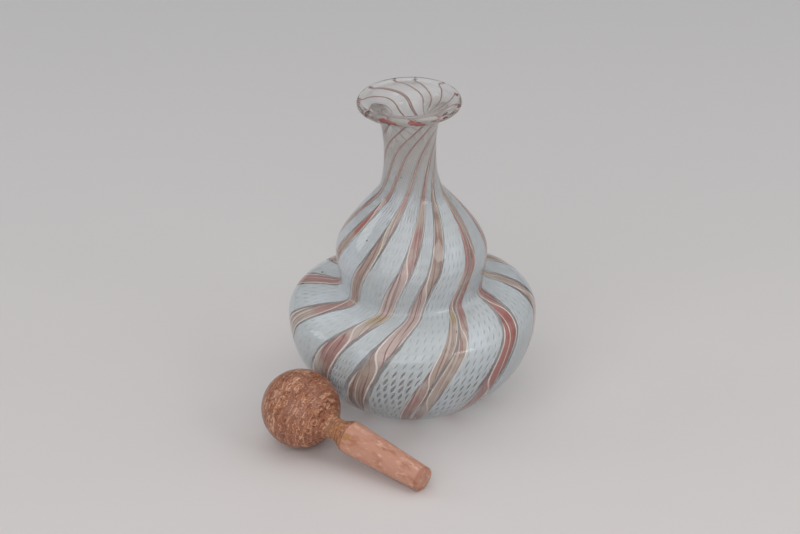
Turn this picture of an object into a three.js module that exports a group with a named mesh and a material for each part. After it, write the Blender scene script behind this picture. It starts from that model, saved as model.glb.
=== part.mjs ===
// A blown glass perfume flask and its ball stopper, in millimetres, +Z up.
//
// The flask is one hollow piece of glass turned about the Z axis: a flat round base, a squat
// belly, a narrow crease at the waist, a smaller upper bulb, a slender neck and a flaring lip
// with a rounded rim. Its inside is open, from the funnel of the lip through the tapered bore
// of the neck into both bulbs. The origin is the centre of the base, on the table.
//
// The stopper is one solid piece of glass: a ball, a thin stem and a tapered plug that is
// ground to the bore. It has been taken out and lies on the table beside the flask, on its
// ball and on the edge of its plug's tip.
import * as THREE from 'three';

// Outside of the two bulbs, from the base up. A rise is counted from the ring below it.
const BASE_RADIUS = 21;
const BELLY_RADIUS = 38.3;
const BELLY_HEIGHT = 27.2;
const SHOULDER_RISE = 11;
const SHOULDER_FULLNESS = 2.67;
const WAIST_RADIUS = 21.8;
const WAIST_FILLET = 2;
const UPPER_RADIUS = 23.3;
const UPPER_RISE = 12;
const UPPER_HEEL = 2.5;
const UPPER_CROWN = 5.8;

// Neck and lip. A step or reach is counted outwards from the neck's narrowest ring.
const COLLAR_RISE = 19.9;
const COLLAR_STEP = 2.35;
const COLLAR_SLOPE_DEG = 53;
const COLLAR_REACH = 3.6;
const NECK_LENGTH = 22.4;
const LIP_REACH = 7.95;
const LIP_RISE = 8.5;
const LIP_THICKNESS = 2.6;

// Thickness of the glass, and the inside of the lip.
const NECK_WALL = 3.2;
const BULB_WALL = 2;
const FLOOR_THICKNESS = 3.5;
const FUNNEL_DEPTH = 6;
const BORE_OPENING_HEIGHT = 7;

// Stopper, along its axis from the ball to the tip, and its fit in the bore.
const BALL_RADIUS = 12.1;
const STEM_RADIUS = 3.4;
const STEM_LENGTH = 8;
const PLUG_TOP_RADIUS = 5.15;
const PLUG_TIP_RADIUS = 3.85;
const PLUG_LENGTH = 27.5;
const TIP_ROUNDING = 0.5;
const SEAT_CLEARANCE = 0.15;
const TIP_CLEARANCE = 1;

// Where the stopper lies: the bearing of its ball from the flask's axis and the way its plug
// points, both turned from +X, and the space between ball and belly.
const REST_BEARING_DEG = -136;
const PLUG_HEADING_DEG = -38;
const REST_GAP = 0.4;

// Fineness of the curves.
const FLASK_SIDES = 44;
const STOPPER_SIDES = 28;

// Shares that shape the free curves, each of the length or step that it is multiplied with.
const NARROWEST_UP_NECK = 0.6;
const COLLAR_HOLLOW = 0.7;
const COLLAR_EASE = 0.12;
const NECK_EASE = 0.3;
const THROAT_EASE = 0.35;
const LIP_SPREAD = 0.45;
const MOUTH_DROP = 0.2;
const STEM_MIDDLE = 0.3;

const point = (radius, height) => new THREE.Vector2(radius, height);

// Points along a curve that is a function of a share from 0 to 1. The first one is left out
// where the stretch before it already ends there.
function along(count, curve, withFirst = false) {
  const points = [];
  for (let i = withFirst ? 0 : 1; i <= count; i++) points.push(curve(i / count));
  return points;
}

function bezier(a, b, c, d, count) {
  const curve = new THREE.CubicBezierCurve(a, b, c, d);
  return along(count, (share) => curve.getPoint(share));
}

// Height of the lower shoulder above the belly's widest ring, at a radius.
function shoulderRiseAt(radius) {
  const inside = Math.max(0, 1 - (radius / BELLY_RADIUS) ** SHOULDER_FULLNESS);
  return SHOULDER_RISE * inside ** (1 / SHOULDER_FULLNESS);
}

// The bore's radius at a depth below the mouth: the plug's own taper and its clearance.
function boreRadiusAt(depth) {
  const taper = (PLUG_TOP_RADIUS - PLUG_TIP_RADIUS) / PLUG_LENGTH;
  return PLUG_TOP_RADIUS - taper * depth + SEAT_CLEARANCE;
}

const waistHeight = BELLY_HEIGHT + shoulderRiseAt(WAIST_RADIUS);
const upperHeight = waistHeight + UPPER_RISE;
const collarHeight = upperHeight + COLLAR_RISE;
const narrowestHeight = collarHeight + NECK_LENGTH * NARROWEST_UP_NECK;
const throatHeight = collarHeight + NECK_LENGTH;
const flaskHeight = throatHeight + LIP_RISE;
const mouthHeight = flaskHeight - FUNNEL_DEPTH;
const neckRadius = boreRadiusAt(mouthHeight - narrowestHeight) + NECK_WALL;
const collarRadius = neckRadius + COLLAR_STEP;
const rimRadius = LIP_THICKNESS / 2;
const rimCentre = point(neckRadius + LIP_REACH - rimRadius, flaskHeight - rimRadius);

// Outside of the two bulbs, from the edge of the base to the collar under the neck.
function bulbOutside() {
  const bellyDrop = BELLY_HEIGHT / Math.sqrt(1 - (BASE_RADIUS / BELLY_RADIUS) ** 2);
  const baseAngle = Math.asin(BELLY_HEIGHT / bellyDrop);
  const belly = along(9, (share) => {
    const angle = baseAngle * (1 - share);
    return point(BELLY_RADIUS * Math.cos(angle), BELLY_HEIGHT - bellyDrop * Math.sin(angle));
  }, true);
  const filletRadius = WAIST_RADIUS + WAIST_FILLET;
  const shoulder = along(8, (share) => {
    const radius = filletRadius + (BELLY_RADIUS - filletRadius) * Math.cos((share * Math.PI) / 2);
    return point(radius, BELLY_HEIGHT + shoulderRiseAt(radius));
  });
  const waist = point(WAIST_RADIUS, waistHeight);
  const heel = point(UPPER_RADIUS, upperHeight - UPPER_HEEL);
  const overWaist = waist.clone().add(heel.clone().sub(waist).setLength(WAIST_FILLET));
  const crease = new THREE.QuadraticBezierCurve(shoulder[shoulder.length - 1], waist, overWaist);
  const widest = point(UPPER_RADIUS, upperHeight);
  const slope = THREE.MathUtils.degToRad(COLLAR_SLOPE_DEG);
  const collar = point(collarRadius, collarHeight);
  const downSlope = point(Math.cos(slope), -Math.sin(slope)).multiplyScalar(COLLAR_REACH);
  const underCollar = collar.clone().add(downSlope);
  return [
    ...belly,
    ...shoulder,
    ...along(3, (share) => crease.getPoint(share)),
    ...bezier(overWaist, overWaist.clone().lerp(heel, 0.5), heel, widest, 4),
    ...bezier(widest, point(UPPER_RADIUS, upperHeight + UPPER_CROWN), underCollar, collar, 9),
  ];
}

// Outside of the neck, hollowed between the collar and the throat, and of the lip and its rim.
function neckOutside() {
  const narrowest = point(neckRadius, narrowestHeight);
  const foot = bezier(
    point(collarRadius, collarHeight),
    point(collarRadius - COLLAR_STEP * COLLAR_HOLLOW, collarHeight + NECK_LENGTH * COLLAR_EASE),
    point(neckRadius, collarHeight + NECK_LENGTH * NECK_EASE),
    narrowest,
    5,
  );
  const underRim = point(rimCentre.x, rimCentre.y - rimRadius);
  const flare = bezier(
    narrowest,
    point(neckRadius, throatHeight + LIP_RISE * THROAT_EASE),
    point(underRim.x - LIP_REACH * LIP_SPREAD, underRim.y),
    underRim,
    9,
  );
  const rim = along(6, (share) => {
    const angle = (share - 0.5) * Math.PI;
    return point(rimCentre.x + rimRadius * Math.cos(angle), rimCentre.y + rimRadius * Math.sin(angle));
  });
  return [...foot, ...flare, ...rim];
}

// Inside of the lip and the neck, from the top of the rim down to the end of the bore.
function mouthInside() {
  const mouthRadius = boreRadiusAt(0);
  const funnelSpread = rimCentre.x - mouthRadius;
  const funnel = bezier(
    point(rimCentre.x, flaskHeight),
    point(mouthRadius + funnelSpread * LIP_SPREAD, flaskHeight - FUNNEL_DEPTH * MOUTH_DROP),
    point(mouthRadius, flaskHeight - FUNNEL_DEPTH * LIP_SPREAD),
    point(mouthRadius, mouthHeight),
    7,
  );
  const boreLength = PLUG_LENGTH - TIP_CLEARANCE;
  return [...funnel, point(boreRadiusAt(boreLength), mouthHeight - boreLength)];
}

// A line of points moved to its left by the thickness of the wall.
function offsetInward(line, wall) {
  return line.map((here, i) => {
    const before = line[Math.max(0, i - 1)];
    const after = line[Math.min(line.length - 1, i + 1)];
    const way = after.clone().sub(before).normalize();
    return point(here.x - wall * way.y, here.y + wall * way.x);
  });
}

// Inside of the bulbs, from under the bore down to the middle of the floor. Down to the
// belly's widest ring the wall is even, and from there it thickens towards the floor.
function bulbInside(boreEnd) {
  const inner = offsetInward(bulbOutside(), BULB_WALL);
  const aboveBelly = inner.filter((p) => p.y > BELLY_HEIGHT && p.y < boreEnd.y - BORE_OPENING_HEIGHT);
  aboveBelly.reverse();
  const joint = aboveBelly[0];
  const way = joint.clone().sub(aboveBelly[1]).setLength(BORE_OPENING_HEIGHT / 2);
  const opening = bezier(
    boreEnd,
    point(boreEnd.x, boreEnd.y - BORE_OPENING_HEIGHT / 3),
    joint.clone().add(way),
    joint,
    5,
  );
  const floorDrop = BELLY_HEIGHT - FLOOR_THICKNESS;
  const lower = along(9, (share) => {
    const angle = (share * Math.PI) / 2;
    return point((BELLY_RADIUS - BULB_WALL) * Math.cos(angle), BELLY_HEIGHT - floorDrop * Math.sin(angle));
  }, true);
  lower[lower.length - 1].x = 0;
  return [...opening, ...aboveBelly.slice(1), ...lower];
}

// A closed piece of glass, turned about +Z from a profile of radius and height.
function turned(profile, sides) {
  return new THREE.LatheGeometry(profile, sides).rotateX(Math.PI / 2);
}

function makeFlask() {
  const mouth = mouthInside();
  const profile = [
    point(0, 0),
    ...bulbOutside(),
    ...neckOutside(),
    ...mouth,
    ...bulbInside(mouth[mouth.length - 1]),
  ];
  const glass = new THREE.MeshStandardMaterial({ color: 0xb4c3cb, roughness: 0.12, metalness: 0 });
  const mesh = new THREE.Mesh(turned(profile, FLASK_SIDES), glass);
  mesh.name = 'flask';
  return mesh;
}

const plugStart = BALL_RADIUS + STEM_LENGTH;
const tipDistance = plugStart + PLUG_LENGTH;

// Profile of the stopper from the far side of its ball to the middle of the tip, with the
// ball's centre at the origin and the tip upwards.
function stopperProfile() {
  const stemStart = Math.sqrt(BALL_RADIUS ** 2 - STEM_RADIUS ** 2);
  const stemMiddle = point(STEM_RADIUS, stemStart + STEM_LENGTH * STEM_MIDDLE);
  const leaving = Math.atan2(STEM_RADIUS + STEM_LENGTH * STEM_MIDDLE, stemStart);
  const ball = along(13, (share) => {
    const angle = Math.PI - (Math.PI - leaving) * share;
    return point(BALL_RADIUS * Math.sin(angle), BALL_RADIUS * Math.cos(angle));
  }, true);
  ball[0].x = 0;
  const intoStem = new THREE.QuadraticBezierCurve(
    ball[ball.length - 1],
    point(STEM_RADIUS, stemStart),
    stemMiddle,
  );
  const ease = (plugStart - stemMiddle.y) / 2;
  const intoPlug = bezier(
    stemMiddle,
    point(STEM_RADIUS, stemMiddle.y + ease),
    point(PLUG_TOP_RADIUS, plugStart - ease),
    point(PLUG_TOP_RADIUS, plugStart),
    5,
  );
  const tip = [
    point(PLUG_TIP_RADIUS, tipDistance - TIP_ROUNDING),
    point(PLUG_TIP_RADIUS - TIP_ROUNDING * 0.3, tipDistance - TIP_ROUNDING * 0.3),
    point(PLUG_TIP_RADIUS - TIP_ROUNDING, tipDistance),
    point(0, tipDistance),
  ];
  return [...ball, ...along(3, (share) => intoStem.getPoint(share)), ...intoPlug, ...tip];
}

// Distance of the ball's centre from the flask's axis that leaves the rest gap to the belly.
function ballDistance() {
  const reach = BALL_RADIUS + REST_GAP;
  const clearOf = (p) => p.x + Math.sqrt(Math.max(0, reach ** 2 - (p.y - BALL_RADIUS) ** 2));
  return Math.max(...bulbOutside().filter((p) => p.y < 2 * BALL_RADIUS).map(clearOf));
}

// How far the stopper's axis dips so that both the ball and the tip's edge touch the table.
function restDip() {
  const reach = Math.hypot(tipDistance - TIP_ROUNDING, PLUG_TIP_RADIUS);
  return Math.asin(BALL_RADIUS / reach) - Math.atan2(PLUG_TIP_RADIUS, tipDistance - TIP_ROUNDING);
}

function makeStopper() {
  const glass = new THREE.MeshStandardMaterial({ color: 0xa8603f, roughness: 0.3, metalness: 0 });
  const mesh = new THREE.Mesh(turned(stopperProfile(), STOPPER_SIDES), glass);
  mesh.name = 'stopper';
  mesh.rotation.y = Math.PI / 2 + restDip();
  const bearing = THREE.MathUtils.degToRad(REST_BEARING_DEG);
  const lying = new THREE.Group();
  lying.rotation.z = THREE.MathUtils.degToRad(PLUG_HEADING_DEG);
  lying.position.set(ballDistance() * Math.cos(bearing), ballDistance() * Math.sin(bearing), BALL_RADIUS);
  lying.add(mesh);
  return lying;
}

const perfumeFlask = new THREE.Group();
perfumeFlask.add(makeFlask(), makeStopper());

export default perfumeFlask;
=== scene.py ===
"""Perfume flask of filigree glass with its ground stopper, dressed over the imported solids.

The clear shell is turned again, finer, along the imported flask's own profile. The canes that are
sealed in its wall, milky lattice canes with flat coloured ribbons between them, run along the same
profile from the middle of the base to the lip. The stopper is turned along its own packed profile.
"""

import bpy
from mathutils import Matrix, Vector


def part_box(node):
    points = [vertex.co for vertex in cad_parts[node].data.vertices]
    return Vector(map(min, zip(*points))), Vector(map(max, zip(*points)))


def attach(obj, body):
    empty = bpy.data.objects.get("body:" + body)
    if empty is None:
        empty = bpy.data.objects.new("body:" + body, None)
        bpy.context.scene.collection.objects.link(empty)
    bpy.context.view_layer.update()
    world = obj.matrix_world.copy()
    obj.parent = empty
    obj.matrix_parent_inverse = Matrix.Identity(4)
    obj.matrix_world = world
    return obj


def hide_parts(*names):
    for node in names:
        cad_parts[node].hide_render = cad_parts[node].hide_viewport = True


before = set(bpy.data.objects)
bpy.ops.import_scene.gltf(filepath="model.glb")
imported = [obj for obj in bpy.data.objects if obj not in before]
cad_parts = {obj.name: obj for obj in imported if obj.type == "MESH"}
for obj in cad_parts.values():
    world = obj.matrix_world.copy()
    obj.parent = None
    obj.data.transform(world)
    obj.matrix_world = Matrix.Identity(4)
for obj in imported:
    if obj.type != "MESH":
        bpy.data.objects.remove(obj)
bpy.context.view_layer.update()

import logging
import math
from dataclasses import dataclass
from enum import Enum

import bmesh
import bpy
import numpy as np
from mathutils import Matrix, Vector

LOG = logging.getLogger("perfume_flask")
MM = 0.001
# Points nearer than this become one point.
TOUCHING = 1e-7
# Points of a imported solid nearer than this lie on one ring.
SAME_RING = 0.02 * MM
# A stretch of profile longer than this stays straight while the rest is smoothed.
LONG_STRAIGHT = 6 * MM
# Height at which the flask's skin counts as off the table.
BARELY_RAISED = 0.001 * MM
# Share of a soft band's reach over which its mask is whole.
BAND_CORE = 0.3
Colour = tuple[float, float, float]
Stations = tuple[tuple[float, float], ...]
Socket = bpy.types.NodeSocket
Given = bpy.types.NodeSocket | float | tuple


def linear(red: int, green: int, blue: int) -> Colour:
    """Turn a screen colour of 0 to 255 into the linear values that shaders use.

    Args:
        red: Red, 0 to 255.
        green: Green, 0 to 255.
        blue: Blue, 0 to 255.

    Returns:
        The three linear values, 0 to 1.
    """
    shares = (red / 255, green / 255, blue / 255)
    return tuple(s / 12.92 if s <= 0.04045 else ((s + 0.055) / 1.055) ** 2.4 for s in shares)


def between(position: np.ndarray, stations: Stations) -> np.ndarray:
    """Read values between given stations on a smooth curve that never overshoots them.

    Args:
        position: Where the values are wanted.
        stations: Pairs of position and value, in order of position.

    Returns:
        One value for each position.
    """
    x = np.array([p for p, _ in stations], float)
    y = np.array([v for _, v in stations], float)
    step = np.diff(x)
    slope = np.diff(y) / step
    tangent = np.zeros_like(x)
    same_way = slope[:-1] * slope[1:] > 0
    near = 2 * step[1:] + step[:-1]
    far = step[1:] + 2 * step[:-1]
    inner = np.zeros_like(slope[:-1])
    inner[same_way] = (near + far)[same_way] / (
        near[same_way] / slope[:-1][same_way] + far[same_way] / slope[1:][same_way]
    )
    tangent[1:-1] = inner
    tangent[0] = slope[0]
    tangent[-1] = slope[-1]
    at = np.clip(np.asarray(position, float), x[0], x[-1])
    i = np.clip(np.searchsorted(x, at, side="right") - 1, 0, len(step) - 1)
    t = (at - x[i]) / step[i]
    rise = y[i] * (1 + 2 * t) * (1 - t) ** 2 + y[i + 1] * t**2 * (3 - 2 * t)
    return rise + step[i] * (tangent[i] * t * (1 - t) ** 2 + tangent[i + 1] * t**2 * (t - 1))


class Nodes:
    """A node tree, and short ways to add nodes to it."""

    def __init__(self, tree: bpy.types.NodeTree) -> None:
        """Take the tree.

        Args:
            tree: Tree that the nodes go into.
        """
        self.tree = tree

    def link(self, source: Socket, target: Socket) -> None:
        """Join an output to an input."""
        self.tree.links.new(source, target)

    def feed(self, target: Socket, given: Given) -> None:
        """Give an input an output to follow, a number, a colour or a vector.

        Args:
            target: The input.
            given: Output or plain value; a colour has three values.
        """
        if isinstance(given, bpy.types.NodeSocket):
            self.link(given, target)
        elif target.type == "RGBA":
            target.default_value = (*given, 1)
        else:
            target.default_value = given

    def node(self, kind: str, group: bpy.types.NodeTree | None = None, **inputs: Given) -> bpy.types.Node:
        """Add a node.

        Args:
            kind: Blender's name of the node's type.
            group: Group that the node places, if it places one.
            **inputs: What its inputs are given, named with underscores for their spaces.

        Returns:
            The node.
        """
        node = self.tree.nodes.new(kind)
        if group:
            node.node_tree = group
        for name, given in inputs.items():
            self.feed(node.inputs[name.replace("_", " ")], given)
        return node

    def noise(self, place: Socket, scale: Given, detail: float, roughness: float = 0.5) -> bpy.types.Node:
        """Add a cloudy pattern.

        Args:
            place: Output of the place.
            scale: Fineness of the pattern.
            detail: Number of finer patterns in it.
            roughness: Strength of the finer patterns.

        Returns:
            The pattern's node.
        """
        return self.node("ShaderNodeTexNoise", Vector=place, Scale=scale, Detail=detail, Roughness=roughness)

    def math(self, operation: str, first: Given, second: Given = 0.0) -> Socket:
        """Work out a value.

        Args:
            operation: Blender's name of the operation.
            first: First output or number.
            second: Second output or number, where the operation takes one.

        Returns:
            Output of the value.
        """
        node = self.tree.nodes.new("ShaderNodeMath")
        node.operation = operation
        self.feed(node.inputs[0], first)
        self.feed(node.inputs[1], second)
        return node.outputs[0]

    def vector_math(self, operation: str, *given: Given) -> bpy.types.Node:
        """Work out a vector, or its length.

        Args:
            operation: Blender's name of the operation.
            *given: Outputs or vectors, in the order of the node's inputs.

        Returns:
            The node.
        """
        node = self.tree.nodes.new("ShaderNodeVectorMath")
        node.operation = operation
        for target, value in zip(node.inputs, given):
            self.feed(target, value)
        return node

    def step(self, source: Socket, start: Given, end: Given) -> Socket:
        """Give a soft step from 0 to 1.

        Args:
            source: Output that is looked at.
            start: Value where the step is 0.
            end: Value where it is 1.

        Returns:
            Output of the step.
        """
        node = self.node("ShaderNodeMapRange", Value=source, From_Min=start, From_Max=end)
        node.interpolation_type = "SMOOTHSTEP"
        return node.outputs["Result"]

    def band(self, source: Socket, middle: float, reach: float) -> Socket:
        """Mask the values near a middle value, softly on both sides.

        Args:
            source: Output that is looked at.
            middle: Value where the mask is 1.
            reach: Distance from it at which the mask has fallen to 0.

        Returns:
            Output of the mask.
        """
        apart = self.math("ABSOLUTE", self.math("SUBTRACT", source, middle))
        return self.step(apart, reach, reach * BAND_CORE)

    def mixed(self, mask: Socket, under: Given, over: Given) -> Socket:
        """Lay a colour over another where a mask says so.

        Args:
            mask: Output that is 1 where the upper colour shows.
            under: The lower colour, or an output that gives it.
            over: The upper colour, or an output that gives it.

        Returns:
            Output of the mixed colour.
        """
        node = self.node("ShaderNodeMix", Factor=mask)
        node.data_type = "RGBA"
        self.feed(node.inputs[6], under)
        self.feed(node.inputs[7], over)
        return node.outputs[2]

    def coloured(self, source: Socket, stops: tuple[tuple[float, Colour], ...]) -> Socket:
        """Turn a value into a colour between given stops.

        Args:
            source: Output of the value.
            stops: Value and colour of each stop, in order.

        Returns:
            Output of the colour.
        """
        node = self.node("ShaderNodeValToRGB", Fac=source)
        elements = node.color_ramp.elements
        for end, (position, colour) in ((0, stops[0]), (1, stops[-1])):
            elements[end].position = position
            elements[end].color = (*colour, 1)
        for position, colour in stops[1:-1]:
            elements.new(position).color = (*colour, 1)
        return node.outputs["Color"]


class Shader(Nodes):
    """A new material with a Principled shader."""

    def __init__(self, name: str) -> None:
        """Start the material.

        Args:
            name: Name of the material.
        """
        self.material = bpy.data.materials.new(name)
        self.material.use_nodes = True
        super().__init__(self.material.node_tree)
        self.principled = self.tree.nodes["Principled BSDF"]

    def values(self, **values: Given) -> None:
        """Give the shader's own sockets what they take, named with underscores for their spaces.

        Args:
            **values: Socket name, and its plain value or the output that it follows.
        """
        for name, value in values.items():
            label = name.replace("_", " ").title().replace("Ior", "IOR")
            self.feed(self.principled.inputs[label], value)

    def bump(self, height: Socket, strength: float, distance: float) -> None:
        """Raise the surface by a height that varies over it.

        Args:
            height: Output that gives the height.
            strength: Share of the relief that shows.
            distance: Height in metres of the value 1.
        """
        relief = self.node("ShaderNodeBump", Strength=strength, Distance=distance, Height=height)
        self.values(normal=relief.outputs["Normal"])

    def place(self) -> Socket:
        """Give the place in the scene."""
        return self.node("ShaderNodeTexCoord").outputs["Object"]

    def part(self, place: Socket, axis: str) -> Socket:
        """Give one coordinate of a place."""
        return self.node("ShaderNodeSeparateXYZ", Vector=place).outputs[axis]

    def own_place(self, turn: Matrix, centre: Vector, drawn_out: float = 1.0) -> Socket:
        """Give the place in a turned piece's own axes.

        Args:
            turn: Rotation from the piece's own axes to the scene's.
            centre: The piece's own origin in the scene.
            drawn_out: Factor by which patterns are drawn out along its length.

        Returns:
            Output of the place.
        """
        own = self.node(
            "ShaderNodeMapping",
            Vector=self.place(),
            Location=centre,
            Rotation=turn.to_euler(),
            Scale=(1, 1, drawn_out),
        )
        own.vector_type = "TEXTURE"
        return own.outputs["Vector"]

    def let_lamps_through(self, share: float) -> None:
        """Let a share of the lamps' light pass each face of the piece.

        Args:
            share: Share of the light that passes.
        """
        path = self.node("ShaderNodeLightPath")
        opening = self.node("ShaderNodeBsdfTransparent", Color=(share, share, share))
        mix = self.node("ShaderNodeMixShader")
        self.link(path.outputs["Is Shadow Ray"], mix.inputs[0])
        self.link(self.principled.outputs[0], mix.inputs[1])
        self.link(opening.outputs[0], mix.inputs[2])
        self.link(mix.outputs[0], self.tree.nodes["Material Output"].inputs["Surface"])


class SharedEffects:
    """Node groups that several finishes use, each built once."""

    def __init__(self) -> None:
        """Build the groups."""
        self.mottle = self._mottle()

    @staticmethod
    def _group(
        name: str, inputs: dict[str, str], outputs: dict[str, str]
    ) -> tuple[bpy.types.NodeTree, bpy.types.Node, bpy.types.Node]:
        """Start a shader node group.

        Args:
            name: Name of the group.
            inputs: Name of each input, with the kind of its socket.
            outputs: Name of each output, with the kind of its socket.

        Returns:
            The group, its input node and its output node.
        """
        group = bpy.data.node_groups.new(name, "ShaderNodeTree")
        for way, sockets in (("INPUT", inputs), ("OUTPUT", outputs)):
            for label, kind in sockets.items():
                group.interface.new_socket(label, in_out=way, socket_type=f"NodeSocket{kind}")
        return group, group.nodes.new("NodeGroupInput"), group.nodes.new("NodeGroupOutput")

    def _mottle(self) -> bpy.types.NodeTree:
        """Build the cloudy mix of two colours that melted glass shows.

        Returns:
            The group, with the colour and the mask of the second colour as outputs.
        """
        group, start, end = self._group(
            "glass_mottle",
            {
                "Vector": "Vector",
                "Main": "Color",
                "Fleck": "Color",
                "Scale": "Float",
                "Amount": "Float",
                "Softness": "Float",
            },
            {"Color": "Color", "Mask": "Float"},
        )
        nodes = Nodes(group)
        given = start.outputs
        clouds = nodes.noise(given["Vector"], given["Scale"], detail=3, roughness=0.6)
        low = nodes.math("SUBTRACT", 1.0, given["Amount"])
        high = nodes.math("ADD", low, given["Softness"])
        mask = nodes.step(clouds.outputs["Fac"], low, high)
        nodes.link(nodes.mixed(mask, given["Main"], given["Fleck"]), end.inputs["Color"])
        nodes.link(mask, end.inputs["Mask"])
        return group


@dataclass(frozen=True)
class Mottle:
    """Fineness, amount and softness of the clouds of a second colour in glass."""

    scale: float
    amount: float
    softness: float

    def laid(
        self, shader: Shader, effects: SharedEffects, place: Socket, main: Given, fleck: Colour
    ) -> bpy.types.Node:
        """Lay the clouds over a main colour.

        Args:
            shader: Material that takes them.
            effects: Node groups that finishes share.
            place: Output of the place.
            main: The main colour, or an output that gives it.
            fleck: Colour of the clouds.

        Returns:
            The group's node, which gives the colour and the mask of the clouds.
        """
        return shader.node(
            "ShaderNodeGroup",
            effects.mottle,
            Vector=place,
            Main=main,
            Fleck=fleck,
            Scale=self.scale,
            Amount=self.amount,
            Softness=self.softness,
        )


@dataclass(frozen=True)
class ClearGlass:
    """Clear blown glass with a faint cool tint and a gently uneven skin."""

    name: str = "clear_blown_glass"
    tint: Colour = (0.97, 0.985, 0.985)
    roughness: float = 0.06
    ior: float = 1.45
    ripple_scale: float = 50
    ripple_share: float = 0.35
    ripple_height: float = 0.1 * MM

    @classmethod
    def misted(cls) -> "ClearGlass":
        """Give the glass of the inside, dulled by what was kept in the flask."""
        return cls("misted_glass", (0.93, 0.925, 0.915), roughness=0.32, ripple_height=0.4 * MM)

    @classmethod
    def ground(cls) -> "ClearGlass":
        """Give the glass of the bore, ground matt to fit the plug."""
        return cls("ground_bore", (0.92, 0.905, 0.895), roughness=0.42, ripple_height=0.2 * MM)

    def made(self) -> bpy.types.Material:
        """Build the material.

        Returns:
            The material.
        """
        shader = Shader(self.name)
        shader.values(
            base_color=self.tint, roughness=self.roughness, ior=self.ior, transmission_weight=1
        )
        ripple = shader.noise(shader.place(), self.ripple_scale, detail=2)
        shader.bump(ripple.outputs["Fac"], self.ripple_share, self.ripple_height)
        return shader.material


@dataclass(frozen=True)
class SealedGlass:
    """Coloured or milky glass that is sealed inside clear glass, so it has no gloss of its own.

    Its main colour drifts slowly into a second one and carries small flecks. It may take an accent
    round one height, and another colour towards the height where it is drawn out thin. A share of
    the lamps' light passes each face, as it does in thin opal glass.
    """

    name: str
    main: Colour
    drift: Colour
    fleck: Colour
    drifting: Mottle = Mottle(75, 0.52, 0.16)
    flecking: Mottle = Mottle(420, 0.42, 0.3)
    passes: float = 0.85
    roughness: float = 0.6
    specular: float = 0.1
    accent: Colour | None = None
    accent_height: float = 36.1 * MM
    accent_reach: float = 0.7 * MM
    accent_share: float = 0.7
    drawn: Colour | None = None
    drawn_height: float = 100 * MM
    drawn_reach: float = 32 * MM

    def made(self, effects: SharedEffects) -> bpy.types.Material:
        """Build the material.

        Args:
            effects: Node groups that finishes share.

        Returns:
            The material.
        """
        shader = Shader(self.name)
        place = shader.place()
        slow = self.drifting.laid(shader, effects, place, self.main, self.drift)
        quick = self.flecking.laid(shader, effects, place, slow.outputs["Color"], self.fleck)
        colour = quick.outputs["Color"]
        if self.accent:
            spot = shader.band(shader.part(place, "Z"), self.accent_height, self.accent_reach)
            colour = shader.mixed(shader.math("MULTIPLY", spot, self.accent_share), colour, self.accent)
        if self.drawn:
            high = shader.band(shader.part(place, "Z"), self.drawn_height, self.drawn_reach)
            colour = shader.mixed(high, colour, self.drawn)
        shader.values(base_color=colour, roughness=self.roughness, specular_ior_level=self.specular)
        if self.passes:
            shader.let_lamps_through(self.passes)
        return shader.material


@dataclass(frozen=True)
class SpeckledGlass:
    """Softly glossy glass full of fine drawn-out orange and brown flecks with small pale specks."""

    name: str = "speckled_glass"
    orange: Colour = linear(174, 114, 84)
    brown: Colour = linear(144, 88, 62)
    dark: Colour = linear(104, 62, 44)
    pale: Colour = linear(220, 178, 144)
    gold: Colour = linear(178, 130, 74)
    stops: tuple[float, float, float, float] = (0.33, 0.43, 0.54, 0.7)
    roughness: float = 0.42
    coat: float = 0.3
    coat_roughness: float = 0.22
    fineness: float = 1150
    slide: float = 15.0
    warp: float = 1.6
    warp_scale: float = 230
    clouds: Mottle = Mottle(150, 0.5, 0.3)
    specks: Mottle = Mottle(1100, 0.36, 0.08)
    stem_at: float = 15.5 * MM
    stem_reach: float = 4.5 * MM
    stem_share: float = 0.25
    relief_share: float = 0.25
    relief: float = 0.2 * MM

    def made(self, effects: SharedEffects, turn: Matrix, centre: Vector) -> bpy.types.Material:
        """Build the material.

        Args:
            effects: Node groups that finishes share.
            turn: Rotation from the stopper's own axes to the scene's.
            centre: Middle of the ball in the scene.

        Returns:
            The material.
        """
        shader = Shader(self.name)
        own = shader.own_place(turn, centre)
        fleck = self._flecks(shader, own)
        colours = (self.dark, self.brown, self.orange, self.pale)
        melted = shader.coloured(fleck, tuple(zip(self.stops, colours)))
        clouds = self.clouds.laid(shader, effects, own, melted, self.brown)
        specks = self.specks.laid(shader, effects, own, clouds.outputs["Color"], self.pale)
        stem = shader.band(shader.part(own, "Z"), self.stem_at, self.stem_reach)
        mask = shader.math("MULTIPLY", stem, self.stem_share)
        shader.values(
            base_color=shader.mixed(mask, specks.outputs["Color"], self.gold),
            roughness=self.roughness,
            coat_weight=self.coat,
            coat_roughness=self.coat_roughness,
        )
        shader.bump(fleck, self.relief_share, self.relief)
        return shader.material

    def _flecks(self, shader: Shader, own: Socket) -> Socket:
        """Make the flecks, drawn out round the stopper's axis.

        Args:
            shader: Material that takes them.
            own: Output of the place in the stopper's own axes.

        Returns:
            Output that varies from dark to pale flecks.
        """
        flat = shader.node("ShaderNodeCombineXYZ", X=shader.part(own, "X"), Y=shader.part(own, "Y"))
        away = shader.vector_math("LENGTH", flat.outputs[0])
        drift = shader.noise(own, self.warp_scale, detail=3)
        streak = shader.node(
            "ShaderNodeCombineXYZ",
            X=shader.math("MULTIPLY", away.outputs["Value"], self.fineness),
            Y=shader.math("MULTIPLY", shader.part(own, "Z"), self.fineness),
            Z=shader.math("MULTIPLY", drift.outputs["Fac"], self.slide),
        )
        push = shader.vector_math("MULTIPLY_ADD", drift.outputs["Color"], (self.warp,) * 3, streak.outputs[0])
        return shader.noise(push.outputs["Vector"], 1.0, detail=3, roughness=0.6).outputs["Fac"]


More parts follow.
